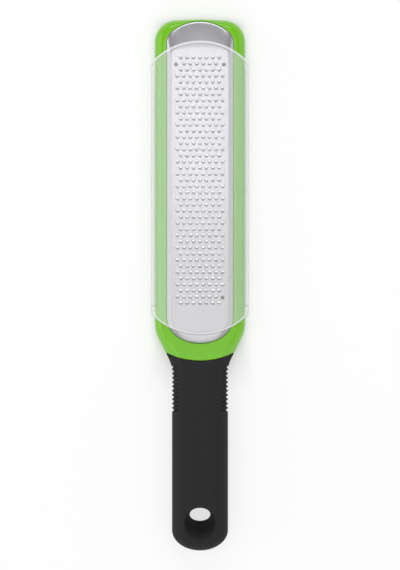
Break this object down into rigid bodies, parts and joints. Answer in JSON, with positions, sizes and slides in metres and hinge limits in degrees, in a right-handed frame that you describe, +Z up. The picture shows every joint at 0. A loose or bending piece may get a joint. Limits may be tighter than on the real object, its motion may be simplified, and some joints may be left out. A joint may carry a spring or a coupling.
{
  "type": "rasp zester",
  "caption": "Long flat kitchen zester: toothed steel plate in a plastic frame, soft oval handle with a hang hole, and a clear arched cover that slides on over the head.",
  "frame": {"origin": "on the surface it lies on, under the middle of its length and width", "axes": "+Y towards the tip of the head, +Z up out of the toothed face, +X to the right of someone who looks at the toothed face with the tip up"},
  "size_m": [0.0572, 0.312, 0.0258],
  "materials": {
    "frame_plastic": "glossy green moulding",
    "plate_steel": "satin stainless sheet with etched teeth",
    "grip_rubber": "matt black soft moulding",
    "foot_rubber": "matt black pad",
    "cover_plastic": "thin see-through moulding"
  },
  "bodies": {
    "zester": {"body": "frame_plastic", "plate": "plate_steel", "grip": "grip_rubber", "foot": "foot_rubber"},
    "cover": {"cover": "cover_plastic"}
  },
  "joints": [
    {"name": "cover_slide", "type": "slide", "parent": "zester", "child": "cover", "axis": [0, 1, 0], "range_m": [0, 0.19]}
  ]
}
